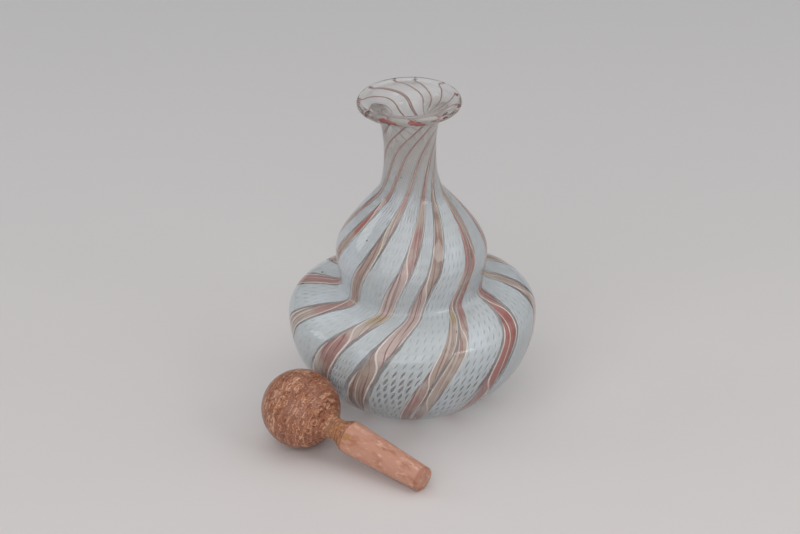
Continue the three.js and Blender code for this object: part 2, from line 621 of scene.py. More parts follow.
@dataclass(frozen=True)
class GroundGlass:
    """Salmon glass with a ground, matt skin, and drawn-out flecks and veins that show through it."""

    name: str = "ground_glass"
    salmon: Colour = linear(200, 148, 126)
    fleck: Colour = linear(176, 116, 92)
    vein: Colour = linear(224, 184, 164)
    gold: Colour = linear(178, 130, 78)
    worn: Colour = linear(150, 92, 72)
    roughness: float = 0.62
    flecking: Mottle = Mottle(520, 0.52, 0.26)
    veining: Mottle = Mottle(700, 0.48, 0.22)
    drawn_out: float = 2.6
    shoulder_at: float = 19.6 * MM
    shoulder_reach: float = 4.0 * MM
    worn_from_tip: float = 0.7 * MM
    worn_reach: float = 0.9 * MM
    worn_share: float = 0.45
    grain_scale: float = 2600
    grain_share: float = 0.5
    grain: float = 0.1 * MM
    glow: float = 0.25
    glow_depth: float = 2 * MM

    def made(self, effects: SharedEffects, turn: Matrix, centre: Vector, tip: float) -> bpy.types.Material:
        """Build the material.

        Args:
            effects: Node groups that finishes share.
            turn: Rotation from the stopper's own axes to the scene's.
            centre: Middle of the ball in the scene.
            tip: Distance from there to the plug's end face.

        Returns:
            The material.
        """
        shader = Shader(self.name)
        drawn = shader.own_place(turn, centre, self.drawn_out)
        along = shader.part(shader.own_place(turn, centre), "Z")
        flecks = self.flecking.laid(shader, effects, drawn, self.salmon, self.fleck)
        veins = self.veining.laid(shader, effects, drawn, flecks.outputs["Color"], self.vein)
        shoulder = shader.band(along, self.shoulder_at, self.shoulder_reach)
        streaked = shader.math("MULTIPLY", shoulder, flecks.outputs["Mask"])
        colour = shader.mixed(streaked, veins.outputs["Color"], self.gold)
        edge = shader.band(along, tip - self.worn_from_tip, self.worn_reach)
        colour = shader.mixed(shader.math("MULTIPLY", edge, self.worn_share), colour, self.worn)
        grain = shader.noise(shader.place(), self.grain_scale, detail=3)
        shader.bump(grain.outputs["Fac"], self.grain_share, self.grain)
        shader.values(
            base_color=colour,
            roughness=self.roughness,
            subsurface_weight=self.glow,
            subsurface_scale=self.glow_depth,
        )
        return shader.material


@dataclass(frozen=True)
class TableTop:
    """Plain pale matt surface with a very faint unevenness, and painted shade that makes it a little darker
    far away, where the lamps' light falls off.
    """

    name: str = "pale_table"
    pale: Colour = (0.79, 0.755, 0.75)
    shade: Colour = (0.77, 0.735, 0.73)
    # Painted shade: the colour the table darkens to far from the viewer, where the lamps' light falls off.
    far: Colour = (0.66, 0.655, 0.67)
    clouds: Mottle = Mottle(9, 0.6, 0.5)
    painted_shade_near_edge: float = -0.16
    painted_shade_far_edge: float = 0.30
    roughness: float = 0.55
    specular: float = 0.25

    def made(self, effects: SharedEffects) -> bpy.types.Material:
        """Build the material.

        Args:
            effects: Node groups that finishes share.

        Returns:
            The material.
        """
        shader = Shader(self.name)
        place = shader.place()
        mottle = self.clouds.laid(shader, effects, place, self.pale, self.shade)
        # Painted shade: the table turns towards the far colour between its near and far edges, standing in
        # for the lamps' light falling off.
        away = shader.node(
            "ShaderNodeMapRange",
            Value=shader.part(place, "Y"),
            From_Min=self.painted_shade_near_edge,
            From_Max=self.painted_shade_far_edge,
        )
        shader.values(
            base_color=shader.mixed(away.outputs["Result"], mottle.outputs["Color"], self.far),
            roughness=self.roughness,
            specular_ior_level=self.specular,
        )
        return shader.material


def ring_angles(sides: int) -> np.ndarray:
    """Give the angles of a ring's points."""
    return np.arange(sides) / sides * 2 * math.pi


def capped(rows: np.ndarray, rims: np.ndarray) -> np.ndarray:
    """Close both ends of a grid by rows whose points all lie in the middle of a rim.

    Args:
        rows: Points, one row for each station.
        rims: For each row, the points whose middle is taken.

    Returns:
        The rows with one more at each end.
    """
    middles = rims[[0, -1]].mean(axis=1)
    first, last = (np.repeat(middle[None], rows.shape[1], axis=0)[None] for middle in middles)
    return np.concatenate([first, rows, last])


class MeshMaker:
    """Gathers grids of points as smooth faces, and turns them into one object."""

    def __init__(self, name: str) -> None:
        """Start an empty mesh.

        Args:
            name: Name of the piece.
        """
        self.name = name
        self.points: list[np.ndarray] = []
        self.faces: list[np.ndarray] = []
        self.slots: list[np.ndarray] = []
        self.count = 0

    def grid(self, rows: np.ndarray, slot: int = 0, around: bool = True, flip: bool = False) -> None:
        """Add a grid of quads.

        Args:
            rows: Points, one row for each station, each row of the same length.
            slot: Number of the material slot.
            around: Whether each row closes on itself.
            flip: Whether the faces look the other way.
        """
        length, wide = rows.shape[:2]
        number = self.count + np.arange(length * wide).reshape(length, wide)
        left = number if around else number[:, :-1]
        right = np.roll(number, -1, axis=1) if around else number[:, 1:]
        quads = np.stack([left[:-1], right[:-1], right[1:], left[1:]], axis=-1).reshape(-1, 4)
        self.faces.append(quads[:, ::-1] if flip else quads)
        self.slots.append(np.full(len(quads), slot))
        self.points.append(rows.reshape(-1, 3))
        self.count += length * wide

    def tube(self, rows: np.ndarray, slot: int = 0) -> None:
        """Add a tube with closed ends.

        Args:
            rows: Points, one ring for each station.
            slot: Number of the material slot.
        """
        self.grid(capped(rows, rows), slot)

    def made(self, materials: list[bpy.types.Material]) -> bpy.types.Object:
        """Make the object.

        Args:
            materials: Materials in the order of the slots.

        Returns:
            The object.
        """
        mesh = bpy.data.meshes.new(self.name)
        mesh.from_pydata(np.concatenate(self.points).tolist(), [], np.concatenate(self.faces).tolist())
        mesh.polygons.foreach_set("material_index", np.concatenate(self.slots).astype(np.int32))
        mesh.polygons.foreach_set("use_smooth", np.ones(len(mesh.polygons), bool))
        for material in materials:
            mesh.materials.append(material)
        mesh.validate()
        obj = bpy.data.objects.new(self.name, mesh)
        bpy.context.scene.collection.objects.link(obj)
        self._weld(mesh)
        return obj

    @staticmethod
    def _weld(mesh: bpy.types.Mesh) -> None:
        """Join points that lie on each other and turn the faces outwards.

        Args:
            mesh: Mesh that is changed.
        """
        form = bmesh.new()
        form.from_mesh(mesh)
        bmesh.ops.remove_doubles(form, verts=form.verts, dist=TOUCHING)
        bmesh.ops.recalc_face_normals(form, faces=form.faces)
        form.to_mesh(mesh)
        form.free()
        mesh.update()


def turned(profile: np.ndarray, sides: int) -> np.ndarray:
    """Turn a profile round the Z axis.

    Args:
        profile: Radius and height of each point.
        sides: Number of points in each ring.

    Returns:
        One ring of points for each profile point.
    """
    angle = np.linspace(0, 2 * math.pi, sides, endpoint=False)
    ring = np.stack([np.cos(angle), np.sin(angle), np.zeros(sides)], axis=-1)
    return profile[:, None, :1] * ring[None] + profile[:, None, 1:] * np.array([0, 0, 1.0])


def smoothed(points: np.ndarray, steps: int, corner: float, ends_flat: bool = False) -> np.ndarray:
    """Draw a smooth line through points, kept sharp where it turns by more than an angle.

    A long stretch stays straight, and what joins it starts in line with it.

    Args:
        points: Radius and height of each point, in order.
        steps: New stretches for each old one.
        corner: Least turn in degrees that stays sharp.
        ends_flat: Whether the last stretch is a flat face already.

    Returns:
        Radius and height of the finer line's points.
    """
    edge = np.diff(points, axis=0)
    length = np.linalg.norm(edge, axis=1)
    way = edge / length[:, None]
    straight = length > LONG_STRAIGHT
    tangent = np.zeros_like(points)
    blend = length[1:, None] * way[:-1] + length[:-1, None] * way[1:]
    tangent[1:-1] = blend / (length[1:] + length[:-1])[:, None]
    tangent[0] = way[0]
    tangent[-1] = way[-1]
    turn = np.degrees(np.arccos(np.clip((way[:-1] * way[1:]).sum(axis=1), -1, 1)))
    line = []
    for i, reach in enumerate(length):
        sharp_start = i and turn[i - 1] > corner
        sharp_end = i < len(turn) and turn[i] > corner
        leave = way[i] if straight[i] or sharp_start else tangent[i]
        meet = way[i] if straight[i] or sharp_end else tangent[i + 1]
        if i and straight[i - 1]:
            leave = way[i - 1] if not sharp_start else way[i]
        if i < len(turn) and straight[i + 1]:
            meet = way[i + 1] if not sharp_end else way[i]
        if points[i + 1][0] < TOUCHING and i == len(length) - 1 and not straight[i] and not ends_flat:
            meet = np.array([-1.0, 0.0])
        t = np.linspace(0, 1, steps, endpoint=False)[:, None]
        line.append(
            points[i] * (1 + 2 * t) * (1 - t) ** 2
            + points[i + 1] * t**2 * (3 - 2 * t)
            + reach * (leave * t * (1 - t) ** 2 + meet * t**2 * (t - 1))
        )
    line.append(points[-1:])
    return np.concatenate(line)


def turned_profile(node: bpy.types.Object, origin: Vector, axis: Vector) -> np.ndarray:
    """Read the profile of a CAD node that is turned round an axis.

    Args:
        node: The node's object.
        origin: A point on the axis.
        axis: Direction of the axis.

    Returns:
        Distance from the axis and place along it, from the lowest point on the axis onwards.
    """
    mesh = node.data
    reach = np.array([v.co for v in mesh.vertices], float) - np.array(origin)
    along = reach @ np.array(axis)
    away = np.linalg.norm(reach - along[:, None] * np.array(axis), axis=1)
    points = np.stack([away, along], axis=-1)
    rings = np.empty((0, 2))
    ring_of = np.zeros(len(along), int)
    for i, point in enumerate(points):
        near = np.flatnonzero(np.abs(rings - point).max(axis=1) < SAME_RING)
        if not len(near):
            rings = np.vstack([rings, point])
        ring_of[i] = near[0] if len(near) else len(rings) - 1
    links: list[set[int]] = [set() for _ in rings]
    for edge in mesh.edges:
        a, b = (ring_of[i] for i in edge.vertices)
        if a != b:
            links[a].add(b)
            links[b].add(a)
    at = min(range(len(rings)), key=lambda k: (rings[k][0] > SAME_RING, rings[k][1]))
    walk = [at]
    while onward := [k for k in links[at] if k not in walk]:
        at = onward[0]
        walk.append(at)
    profile = rings[walk]
    profile[[0, -1], 0] = 0
    return profile


class WallTrack:
    """Way along the flask's outer skin, from the middle of the base to the rim.

    Canes are placed on it by the distance along the profile, the bearing round the axis
    (0 towards the viewer, growing anticlockwise seen from above) and the depth under the skin.
    """

    lip_points: int = 12
    easing_passes: int = 3

    def __init__(self, profile: np.ndarray, spacing: float) -> None:
        """Measure the outer part of a profile.

        Args:
            profile: Smooth profile of the flask, from the foot of the axis.
            spacing: Distance between stations.
        """
        top = int(profile[:, 1].argmax())
        lip = top - self.lip_points
        widest_lip = lip + int(profile[lip : top + 1, 0].argmax())
        outer = profile[: widest_lip + 1]
        length = np.concatenate([[0], np.cumsum(np.linalg.norm(np.diff(outer, axis=0), axis=1))])
        self.along = np.arange(0, length[-1], spacing)
        self.radius = np.interp(self.along, length, outer[:, 0])
        self.height = np.interp(self.along, length, outer[:, 1])
        self.base_edge = self.at_height(BARELY_RAISED)
        slope = np.stack([np.gradient(self.radius), np.gradient(self.height)], axis=-1)
        slope /= np.linalg.norm(slope, axis=1)[:, None]
        for _ in range(self.easing_passes):
            slope[1:-1] = (slope[:-2] + 2 * slope[1:-1] + slope[2:]) / 4
        slope /= np.linalg.norm(slope, axis=1)[:, None]
        self.normal = np.stack([slope[:, 1], -slope[:, 0]], axis=-1)

    def at_height(self, height: float) -> float:
        """Give the distance along the track at which it reaches a height."""
        rising = self.height + np.arange(len(self.height)) * 1e-12
        return float(np.interp(height, rising, self.along))

    def place(self, bearing: np.ndarray, depth: np.ndarray, part: slice) -> np.ndarray:
        """Place points under the skin.

        Args:
            bearing: Bearing in radians, one row for each station of the part.
            depth: Depth under the skin, of the same shape.
            part: Stations that the rows stand for.

        Returns:
            Points of that shape, with their three coordinates last.
        """
        shape = (-1,) + (1,) * (bearing.ndim - 1)
        radius = self.radius[part].reshape(shape) - self.normal[part, 0].reshape(shape) * depth
        height = self.height[part].reshape(shape) - self.normal[part, 1].reshape(shape) * depth
        return np.stack([radius * np.sin(bearing), -radius * np.cos(bearing), height], axis=-1)


@dataclass
class CaneLayout:
    """How the canes wind round the flask and how wide each is on the way up.

    Stations pair a height in millimetres with a value. Negative heights stand for the base, as
    minus the distance from its edge. Twist is in degrees, widths are shares of the pitch from one
    ribbon to the next, and depth and half thickness are in millimetres.
    """

    track: WallTrack
    twist_stations: Stations = (
        (-21, -75),
        (-10, -58),
        (0, -43),
        (8, -37),
        (18, -30),
        (27.2, -22),
        (33, -15.5),
        (36, -8),
        (38, 0),
        (45.5, 8),
        (50.5, 14.5),
        (55, 20),
        (60, 26.5),
        (64, 32.5),
        (68, 40),
        (71.5, 49),
        (77, 63),
        (83.4, 82),
        (88, 105),
        (92, 132),
        (95, 150),
        (96.9, 177),
        (97.4, 195),
    )
    ribbon_share_stations: Stations = (
        (-21, 0.36),
        (0, 0.35),
        (18, 0.35),
        (27, 0.34),
        (36, 0.33),
        (40, 0.34),
        (58, 0.34),
        (66, 0.32),
        (74, 0.26),
        (88, 0.22),
        (94, 0.2),
        (97.5, 0.13),
    )
    gap_share_stations: Stations = (
        (-21, 0.01),
        (-3, 0.015),
        (1, 0.04),
        (8, 0.065),
        (16, 0.06),
        (25, 0.04),
        (36, 0.025),
        (40, 0.02),
        (60, 0.02),
        (70, 0.03),
        (97.5, 0.03),
    )
    depth_stations: Stations = ((0, 1.0), (90, 1.0), (97.4, 1.25))
    half_thickness_stations: Stations = ((0, 0.62), (90, 0.62), (97.4, 0.5))
    ribbon_bearings: tuple[float, ...] = (-155, -121, -93, -56, -22, 2, 37, 72, 106, 139, 172)

    def __post_init__(self) -> None:
        """Work out twist, widths and depths at each station of the track."""
        self.twist = np.radians(self.stationed(self.twist_stations))
        self.ribbon_share = self.stationed(self.ribbon_share_stations)
        self.gap_share = self.stationed(self.gap_share_stations)
        self.depth = self.stationed(self.depth_stations) * MM
        self.half = self.stationed(self.half_thickness_stations) * MM
        onward = np.gradient(self.track.along)
        sideways = self.track.radius * np.gradient(self.twist)
        self.walked = np.cumsum(np.hypot(onward, sideways))

    @property
    def pitch(self) -> float:
        """Mean angle from one ribbon to the next."""
        return 2 * math.pi / len(self.ribbon_bearings)

    def stationed(self, pairs: Stations) -> np.ndarray:
        """Give values at each station of the track.

        Args:
            pairs: Pairs of height in millimetres and value.

        Returns:
            One value for each station.
        """
        track = self.track
        along = [track.base_edge + h * MM if h <= 0 else track.at_height(h * MM) for h, _ in pairs]
        return between(track.along, tuple((a, v) for a, (_, v) in zip(along, pairs)))

    def cane(
        self, bearing: float, half_angle: np.ndarray, u: np.ndarray, v: np.ndarray, part: slice
    ) -> np.ndarray:
        """Place points of a flattened cane, given in its round cross-section.

        Args:
            bearing: Bearing of the cane's middle at the waist, in radians.
            half_angle: Half of the angle that the cane covers, at each station.
            u: Sideways place in the cross-section, -1 to 1, one row for each station.
            v: Outward place in the cross-section, -1 to 1.
            part: Stations that the rows stand for.

        Returns:
            The points.
        """
        shape = (-1,) + (1,) * (u.ndim - 1)
        turn = (bearing + self.twist[part]).reshape(shape) + half_angle[part].reshape(shape) * u
        depth = self.depth[part].reshape(shape) - self.half[part].reshape(shape) * v
        return self.track.place(turn, depth, part)


@dataclass
class LatticeCane:
    """Band of fine flat milky strands side by side, which meet and part and so show as a net.

    Each strand sways sideways along the cane and its neighbours sway the other way, so lens-shaped
    meshes lie between them, staggered from strand to strand. Where the net is closed, the strands
    are wide enough to overlap. Opening and thinning are given at heights in millimetres. Widths
    and sway are in steps from one strand to the next.
    """

    name: str
    bearing: float
    spacing: float
    openness: float = 1.0
    strands: int = 11
    strand_sides: int = 6
    mesh_length: float = 7 * MM
    sway: float = 0.4
    closed: float = 2.04
    border_width: float = 1.0
    width_limits: tuple[float, float] = (0.05, 2.2)
    side_limit: float = 1.02
    least_half_angle: float = 0.02
    phase: float = 0.0
    first: float = 3.2 * MM
    thickness: float = 0.2
    unevenness: float = 0.05
    uneven_length: float = 4 * MM
    uneven_sway: float = 3.0
    seed: int = 1
    opening_stations: Stations = (
        (-21, 0),
        (1, 0.1),
        (4, 0.6),
        (8, 0.88),
        (18, 0.98),
        (22, 0.86),
        (26, 0.52),
        (30, 0.12),
        (36, 0),
        (42, 0.12),
        (50, 0.12),
        (58, 0),
        (97.4, 0),
    )
    thinning_stations: Stations = (
        (61, 0),
        (66, 0.36),
        (73, 0.6),
        (84, 0.66),
        (90, 0.8),
        (95, 0.93),
        (97.4, 0.96),
    )

    def build(self, layout: CaneLayout, material: bpy.types.Material) -> bpy.types.Object:
        """Make the cane's strands.

        Args:
            layout: How canes wind and how wide they are.
            material: Milky glass.

        Returns:
            The object.
        """
        track = layout.track
        part = slice(int(np.searchsorted(track.along, self.first)), len(track.along))
        taken = (layout.ribbon_share / 2 + layout.gap_share) * layout.pitch
        half_angle = np.maximum(self.spacing / 2 - taken, self.least_half_angle)
        opening = layout.stationed(self.opening_stations) * self.openness
        thinning = layout.stationed(self.thinning_stations)
        around = ring_angles(self.strand_sides)
        random = np.random.default_rng(self.seed)
        knots = np.arange(0, track.along[-1] + self.uneven_length, self.uneven_length)
        wave = layout.walked / self.mesh_length * 2 * math.pi + self.phase
        half_step = 1 / self.strands
        mesh = MeshMaker(self.name)
        for k in range(-1, self.strands + 1):
            uneven = np.interp(track.along, knots, random.normal(0, self.unevenness, len(knots)))
            if k in (-1, self.strands):
                width = self.border_width + uneven
                sway = np.zeros_like(wave)
            else:
                width = self.closed - opening + uneven
                sway = self.sway * np.cos(wave + k * math.pi + self.uneven_sway * uneven)
            size = (np.clip(width * (1 - thinning), *self.width_limits) * half_step)[part][:, None]
            middle = np.clip((2 * k + 1) * half_step - 1, half_step - 1, 1 - half_step)
            centre = (middle + 2 * half_step * sway * (1 - thinning))[part][:, None]
            u = np.clip(centre + size * np.cos(around)[None], -self.side_limit, self.side_limit)
            v = np.broadcast_to(self.thickness * np.sin(around), u.shape)
            mesh.tube(layout.cane(self.bearing, half_angle, u, v, part))
        return mesh.made([material])


class RibbonKind(Enum):
    """Whether a coloured cane holds one ribbon or two side by side."""

    SINGLE = 1
    DOUBLE = 2


@dataclass
class RibbonCane:
    """Thick ribbon with two differently coloured faces and a white thread along each edge, twisted.

    Fine streaks run along both faces, each with a place across the face, a radius and a material
    slot. Widths and radii are shares of half the cane's width.
    """

    name: str
    bearing: float
    kind: RibbonKind
    faces: tuple[SealedGlass, SealedGlass]
    width: float = 1.0
    half_turn: float = 30 * MM
    phase: float = 0.0
    second_phase: float = 1.3
    first: float = 3.2 * MM
    reach: float = 0.78
    thickness: float = 0.68
    fullness: float = 0.7
    face_steps: int = 6
    thread: float = 0.1
    thread_out: float = 0.6
    thread_sides: int = 6
    streaks: tuple[tuple[float, float, int], ...] = (
        (-0.5, 0.06, 3),
        (-0.1, 0.035, 2),
        (0.22, 0.05, 3),
        (0.6, 0.05, 3),
    )
    streak_length: float = 9 * MM
    streak_range: tuple[float, float] = (-0.4, 1.7)
    streak_least: float = 0.02
    streak_shift: float = 0.12
    seed: int = 1
    flatness: float = 0.42

    def build(
        self,
        layout: CaneLayout,
        effects: SharedEffects,
        white: bpy.types.Material,
        streak: bpy.types.Material,
    ) -> bpy.types.Object:
        """Make the ribbon or ribbons of the cane.

        Args:
            layout: How canes wind and how wide they are.
            effects: Node groups that finishes share.
            white: Milky glass of the edge threads.
            streak: Dark glass of the fine streaks on the faces.

        Returns:
            The object.
        """
        track = layout.track
        part = slice(int(np.searchsorted(track.along, self.first)), len(track.along))
        half_angle = layout.ribbon_share / 2 * layout.pitch * self.width
        mesh = MeshMaker(self.name)
        centres = [0.0] if self.kind is RibbonKind.SINGLE else [-0.5, 0.5]
        size = 1 / len(centres)
        for number, centre in enumerate(centres):
            phase = self.phase + number * self.second_phase
            angle = layout.walked[part] / self.half_turn * math.pi + phase
            self._ribbon(mesh, layout, half_angle, part, angle, centre, size)
        return mesh.made([*(finish.made(effects) for finish in self.faces), white, streak])

    def _ribbon(
        self,
        mesh: MeshMaker,
        layout: CaneLayout,
        half_angle: np.ndarray,
        part: slice,
        angle: np.ndarray,
        centre: float,
        size: float,
    ) -> None:
        """Add one ribbon with its edge threads and streaks.

        Args:
            mesh: Mesh that takes it.
            layout: How canes wind.
            half_angle: Half of the angle that the cane covers.
            part: Stations that it runs along.
            angle: Turn of the ribbon at each of them.
            centre: Sideways place of its middle in the cane.
            size: Its share of the cane's width.
        """
        along_turn = np.stack([np.cos(angle), self.flatness * np.sin(angle)])
        cos, sin = (along_turn / np.linalg.norm(along_turn, axis=0))[:, :, None]
        sweep = np.linspace(0, math.pi, self.face_steps + 1)[None]
        for slot, way in ((0, 1.0), (1, -1.0)):
            across = self.reach * np.cos(sweep)
            lift = way * self.thickness * np.sin(sweep) ** self.fullness
            u = centre + size * (across * cos - lift * sin)
            v = across * sin + lift * cos
            rows = layout.cane(self.bearing, half_angle, u, v, part)
            mesh.grid(capped(rows, rows[:, [0, -1]]), slot, around=False, flip=way < 0)
        around = ring_angles(self.thread_sides)
        for across, lift, radius, slot in self._threads(layout, part):
            u = centre + size * (across * cos - lift * sin + radius * np.cos(around)[None])
            v = across * sin + lift * cos + radius * np.sin(around)[None]
            mesh.tube(layout.cane(self.bearing, half_angle, u, v, part), slot)

    def _threads(
        self, layout: CaneLayout, part: slice
    ) -> list[tuple[float, float, float | np.ndarray, int]]:
        """Lay out the edge threads and the streaks of both faces.

        Args:
            layout: How canes wind.
            part: Stations that they run along.

        Returns:
            Place across the ribbon, place over its middle, radius and material slot of each.
        """
        edge = self.reach + self.thread * self.thread_out
        threads = [(side * edge, 0.0, self.thread, 2) for side in (-1, 1)]
        random = np.random.default_rng(self.seed)
        knots = np.arange(0, layout.track.along[-1] + self.streak_length, self.streak_length)
        for way in (1.0, -1.0):
            for place, radius, slot in self.streaks:
                lift = way * self.thickness * (1 - place**2) ** (self.fullness / 2)
                sizes = random.uniform(*self.streak_range, len(knots))
                spread = np.interp(layout.track.along, knots, sizes)
                shifted = place + random.uniform(-self.streak_shift, self.streak_shift)
                uneven = radius * np.maximum(spread, self.streak_least)[part][:, None]
                threads.append((way * shifted * self.reach, lift, uneven, slot))
        return threads


@dataclass
class RimKnots:
    """Blobs of coloured glass where the ribbons end in the fire-polished rim.

    Each blob is a bundle of a few short strands. It has a length in millimetres, a share of the
    rim's thickness and the material slot of all its strands but the last, which takes the next
    slot. Pairs are the least and the greatest of a random draw.
    """

    name: str = "rim_knots"
    blobs: tuple[tuple[float, float, int], ...] = (
        (4.2, 0.26, 1),
        (4.0, 0.24, 1),
        (2.2, 0.20, 0),
        (2.0, 0.14, 1),
        (1.8, 0.12, 0),
        (1.8, 0.12, 1),
        (2.0, 0.16, 0),
        (2.6, 0.34, 1),
        (2.3, 0.70, 1),
        (4.4, 0.46, 0),
        (4.2, 0.42, 0),
    )
    outward: float = 0.18
    steps: int = 16
    sides: int = 10
    strands: int = 3
    strand_length: tuple[float, float] = (0.6, 1.0)
    shift: tuple[float, float] = (-0.3, 0.3)
    swelling: float = 0.25
    swells: tuple[float, float] = (2, 5)
    swell_phase: tuple[float, float] = (0, 6)
    lean: tuple[float, float] = (-0.6, 0.6)
    lean_room: float = 0.8
    seed: int = 7

    def build(
        self,
        layout: CaneLayout,
        centre: tuple[float, float],
        bead: float,
        materials: list[bpy.types.Material],
    ) -> bpy.types.Object:
        """Make the blobs.

        Args:
            layout: How canes wind.
            centre: Radius and height of the middle of the rim's round bead.
            bead: Radius of the bead.
            materials: Glass of the three slots.

        Returns:
            The object.
        """
        mesh = MeshMaker(self.name)
        along = np.cos(np.linspace(math.pi, 0, self.steps))[:, None]
        around = ring_angles(self.sides)
        random = np.random.default_rng(self.seed)
        for bearing, (length, share, slot) in zip(layout.ribbon_bearings, self.blobs):
            for strand in range(self.strands):
                reach = length / 2 * MM / centre[0] * random.uniform(*self.strand_length)
                shift = random.uniform(*self.shift) * length * MM / centre[0]
                turn = math.radians(bearing) + layout.twist[-1] + shift + along * reach
                wave = np.sin(along * random.uniform(*self.swells) + random.uniform(*self.swell_phase))
                swell = 1 - self.swelling + self.swelling * wave
                thick = share * bead * swell * np.sqrt(np.maximum(1 - along**2, 0))
                lean = random.uniform(*self.lean, 2) * (self.lean_room - share) * bead
                radius = centre[0] + bead * self.outward + lean[0] + thick * np.cos(around)
                height = centre[1] + lean[1] * (1 + along) + thick * np.sin(around)
                rows = np.stack([radius * np.sin(turn), -radius * np.cos(turn), height], axis=-1)
                mesh.grid(rows, slot if strand < self.strands - 1 else slot + 1)
        return mesh.made(materials)


@dataclass
class Grains:
    """Tiny dark grains that were caught in the glass.

    Each has a height and a bearing on the skin, in millimetres and degrees, and a radius.
    """

    name: str = "dark_grains"
    places: tuple[tuple[float, float, float], ...] = (
        (35.5, -110.2, 0.34),
        (35.1, 25.0, 0.22),
        (77.0, -20.4, 0.2),
        (58.3, -46.4, 0.24),
    )
    depth: float = 0.32 * MM
    sides: int = 8

    def build(self, layout: CaneLayout, material: bpy.types.Material) -> bpy.types.Object:
        """Make the grains.

        Args:
            layout: How canes wind, for the way along the skin.
            material: Dark glass.

        Returns:
            The object.
        """
        track = layout.track
        mesh = MeshMaker(self.name)
        rise = np.linspace(-math.pi / 2, math.pi / 2, self.sides)
        ball = turned(np.stack([np.cos(rise), np.sin(rise)], axis=-1), self.sides)
        depth = np.array([self.depth])
        for height, bearing, radius in self.places:
            at = int(np.searchsorted(track.along, track.at_height(height * MM)))
            middle = track.place(np.radians([bearing]), depth, slice(at, at + 1))
            mesh.grid(middle[0] + ball * radius * MM)
        return mesh.made([material])


@dataclass(frozen=True)
class RibbonPlan:
    """Colours, width and kind of one ribbon cane."""

    front: Colour
    back: Colour
    drift: Colour
    accent: Colour | None = None
    width: float = 1.0
    kind: RibbonKind = RibbonKind.SINGLE


